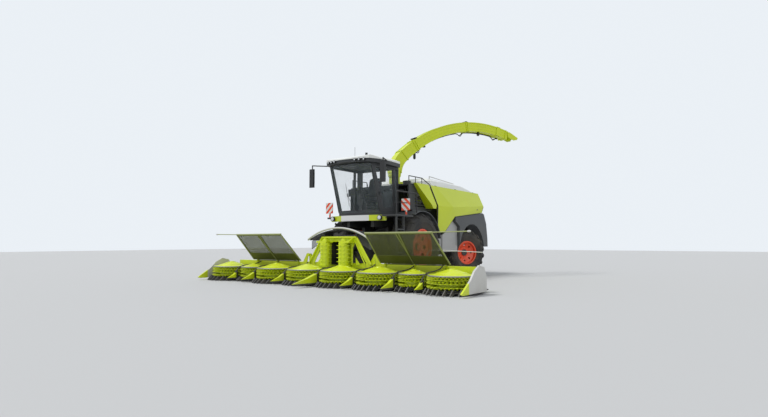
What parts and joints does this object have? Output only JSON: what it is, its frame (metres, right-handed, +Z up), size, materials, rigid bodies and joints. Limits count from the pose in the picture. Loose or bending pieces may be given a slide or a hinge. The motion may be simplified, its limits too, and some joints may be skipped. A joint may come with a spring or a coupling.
{
  "type": "forage harvester",
  "caption": "Self-propelled forage harvester with cab, raised discharge spout, opening side panels, steered rear wheels and a wide folding header with cutting rotors.",
  "frame": {"origin": "centre of the whole machine's outline, header and spout included, on the ground", "axes": "-Y points forwards, +X to the driver's left, +Z up"},
  "size_m": [9.05, 9.6745, 5.5232],
  "materials": {
    "lime_paint": "satin yellow-green paint",
    "white_paint": "satin white paint",
    "red_paint": "satin orange-red paint",
    "dark_paint": "satin dark grey paint",
    "chassis_paint": "satin grey paint",
    "silver_paint": "satin silver-grey paint",
    "shield_paint": "dark green paint",
    "black_plastic": "matt black",
    "rubber": "matt rubber",
    "glass": "clear glass",
    "lamp_glass": "glossy lenses",
    "board_sheet": "red and white stripes",
    "seat_fabric": "woven",
    "engine_metal": "painted cast metal"
  },
  "bodies": {
    "chassis": {"main_frame": "chassis_paint", "front_axle": "chassis_paint", "rear_axle": "chassis_paint", "engine_block": "engine_metal", "chopper_housing": "chassis_paint", "engine_bay": "dark_paint", "top_cover": "white_paint", "rear_cowl": "dark_paint", "service_deck": "dark_paint", "corner_panels": "dark_paint", "fenders": "dark_paint", "side_skirts": "silver_paint", "platform": "dark_paint", "light_bar": "white_paint", "cab_frame": "dark_paint", "cab_glass": "glass", "cab_roof": "white_paint", "roof_visor": "dark_paint", "operator_seat": "seat_fabric", "steering_console": "black_plastic", "hand_rails": "black_plastic", "mirrors": "black_plastic", "warning_boards": "board_sheet", "work_lamps": "lamp_glass", "tow_hitch": "chassis_paint"},
    "wheel_front_left": {"rim_front_left": "red_paint", "tyre_front_left": "rubber"},
    "wheel_front_right": {"rim_front_right": "red_paint", "tyre_front_right": "rubber"},
    "steer_left": {"knuckle_left": "chassis_paint"},
    "steer_right": {"knuckle_right": "chassis_paint"},
    "wheel_rear_left": {"rim_rear_left": "red_paint", "tyre_rear_left": "rubber"},
    "wheel_rear_right": {"rim_rear_right": "red_paint", "tyre_rear_right": "rubber"},
    "spout_base": {"spout_neck": "lime_paint"},
    "spout": {"spout_arm": "lime_paint"},
    "spout_deflector": {"spout_flap": "lime_paint"},
    "door": {"cab_door": "dark_paint", "cab_door_glass": "glass"},
    "panel_left": {"side_panel_left": "lime_paint"},
    "panel_right": {"side_panel_right": "lime_paint"},
    "header": {"feeder_housing": "chassis_paint", "header_frame": "lime_paint", "header_floor": "dark_paint", "intake_hood": "dark_paint"},
    "drum_left": {"intake_drum_left": "lime_paint"},
    "drum_right": {"intake_drum_right": "lime_paint"},
    "header_wing_left": {"wing_left": "dark_paint"},
    "header_wing_right": {"wing_right": "dark_paint"},
    "shield_left": {"crop_shield_left": "shield_paint"},
    "shield_right": {"crop_shield_right": "shield_paint"},
    "cutting_rotor_1": {"rotor_1": "lime_paint"},
    "cutting_rotor_2": {"rotor_2": "lime_paint"},
    "cutting_rotor_3": {"rotor_3": "lime_paint"},
    "cutting_rotor_4": {"rotor_4": "lime_paint"},
    "cutting_rotor_5": {"rotor_5": "lime_paint"},
    "cutting_rotor_6": {"rotor_6": "lime_paint"},
    "cutting_rotor_7": {"rotor_7": "lime_paint"},
    "cutting_rotor_8": {"rotor_8": "lime_paint"}
  },
  "joints": [
    {"name": "front_left_wheel_spin", "type": "hinge", "parent": "chassis", "child": "wheel_front_left", "pos_m": [1.17, -0.83099, 1.02], "axis": [1, 0, 0], "continuous": true},
    {"name": "front_right_wheel_spin", "type": "hinge", "parent": "chassis", "child": "wheel_front_right", "pos_m": [-1.17, -0.83099, 1.02], "axis": [1, 0, 0], "continuous": true},
    {"name": "steer_left_turn", "type": "hinge", "parent": "chassis", "child": "steer_left", "pos_m": [0.79, 2.61901, 0.8], "axis": [0, 0, 1], "range_deg": [0, 50]},
    {"name": "steer_right_turn", "type": "hinge", "parent": "chassis", "child": "steer_right", "pos_m": [-0.79, 2.61901, 0.8], "axis": [0, 0, 1], "range_deg": [0, 50]},
    {"name": "rear_left_wheel_spin", "type": "hinge", "parent": "steer_left", "child": "wheel_rear_left", "pos_m": [1.14346, 2.45419, 0.8], "axis": [0.9063, -0.4226, 0], "continuous": true},
    {"name": "rear_right_wheel_spin", "type": "hinge", "parent": "steer_right", "child": "wheel_rear_right", "pos_m": [-1.14346, 2.78383, 0.8], "axis": [0.9063, -0.4226, 0], "continuous": true},
    {"name": "spout_slew", "type": "hinge", "parent": "chassis", "child": "spout_base", "pos_m": [0, -0.03099, 3.05], "axis": [0, 0, 1], "range_deg": [-120, 80]},
    {"name": "spout_lift", "type": "hinge", "parent": "spout_base", "child": "spout", "pos_m": [-0.04649, -0.13068, 3.4], "axis": [0.9063, -0.4226, 0], "range_deg": [-16, 0]},
    {"name": "spout_deflector_tilt", "type": "hinge", "parent": "spout", "child": "spout_deflector", "pos_m": [2.03185, 4.32633, 5.2802], "axis": [-0.9063, 0.4226, 0], "range_deg": [-30, 40]},
    {"name": "cab_door_swing", "type": "hinge", "parent": "chassis", "child": "door", "pos_m": [0.7923, -1.38899, 2.7], "axis": [0, 0, 1], "range_deg": [0, 35]},
    {"name": "side_panel_left_lift", "type": "hinge", "parent": "chassis", "child": "panel_left", "pos_m": [1.205, 1.76901, 2.985], "axis": [0, -1, 0], "range_deg": [0, 65]},
    {"name": "side_panel_right_lift", "type": "hinge", "parent": "chassis", "child": "panel_right", "pos_m": [-1.205, 1.76901, 2.985], "axis": [0, 1, 0], "range_deg": [0, 65]},
    {"name": "header_lift", "type": "hinge", "parent": "chassis", "child": "header", "pos_m": [0, -1.43099, 1.15], "axis": [1, 0, 0], "range_deg": [-12, 0]},
    {"name": "intake_drum_left_spin", "type": "hinge", "parent": "header", "child": "drum_left", "pos_m": [0.335, -3.20099, 0.8], "axis": [0, 0, 1], "continuous": true},
    {"name": "intake_drum_right_spin", "type": "hinge", "parent": "header", "child": "drum_right", "pos_m": [-0.335, -3.20099, 0.8], "axis": [0, 0, 1], "continuous": true},
    {"name": "wing_left_fold", "type": "hinge", "parent": "header", "child": "header_wing_left", "pos_m": [1.23, -2.91099, 0.8], "axis": [0, -1, 0], "range_deg": [0, 90]},
    {"name": "wing_right_fold", "type": "hinge", "parent": "header", "child": "header_wing_right", "pos_m": [-1.23, -2.91099, 0.8], "axis": [0, 1, 0], "range_deg": [0, 90]},
    {"name": "crop_shield_left_fold", "type": "hinge", "parent": "header_wing_left", "child": "shield_left", "pos_m": [2.5, -2.99099, 0.6], "axis": [1, 0, 0], "range_deg": [0, 45]},
    {"name": "crop_shield_right_fold", "type": "hinge", "parent": "header_wing_right", "child": "shield_right", "pos_m": [-2.5, -2.99099, 0.6], "axis": [1, 0, 0], "range_deg": [0, 45]},
    {"name": "rotor_1_spin", "type": "hinge", "parent": "header_wing_right", "child": "cutting_rotor_1", "pos_m": [-3.885, -3.61099, 0.25], "axis": [0, 0, 1], "continuous": true},
    {"name": "rotor_2_spin", "type": "hinge", "parent": "header_wing_right", "child": "cutting_rotor_2", "pos_m": [-2.865, -3.61099, 0.25], "axis": [0, 0, 1], "continuous": true},
    {"name": "rotor_3_spin", "type": "hinge", "parent": "header_wing_right", "child": "cutting_rotor_3", "pos_m": [-1.845, -3.61099, 0.25], "axis": [0, 0, 1], "continuous": true},
    {"name": "rotor_4_spin", "type": "hinge", "parent": "header", "child": "cutting_rotor_4", "pos_m": [-0.615, -3.61099, 0.25], "axis": [0, 0, 1], "continuous": true},
    {"name": "rotor_5_spin", "type": "hinge", "parent": "header", "child": "cutting_rotor_5", "pos_m": [0.615, -3.61099, 0.25], "axis": [0, 0, 1], "continuous": true},
    {"name": "rotor_6_spin", "type": "hinge", "parent": "header_wing_left", "child": "cutting_rotor_6", "pos_m": [1.845, -3.61099, 0.25], "axis": [0, 0, 1], "continuous": true},
    {"name": "rotor_7_spin", "type": "hinge", "parent": "header_wing_left", "child": "cutting_rotor_7", "pos_m": [2.865, -3.61099, 0.25], "axis": [0, 0, 1], "continuous": true},
    {"name": "rotor_8_spin", "type": "hinge", "parent": "header_wing_left", "child": "cutting_rotor_8", "pos_m": [3.885, -3.61099, 0.25], "axis": [0, 0, 1], "continuous": true}
  ],
  "couplings": [
    {"joint": "steer_right_turn", "follows": "steer_left_turn", "ratio": 1},
    {"joint": "crop_shield_left_fold", "follows": "wing_left_fold", "ratio": 0.5},
    {"joint": "crop_shield_right_fold", "follows": "wing_right_fold", "ratio": 0.5}
  ]
}
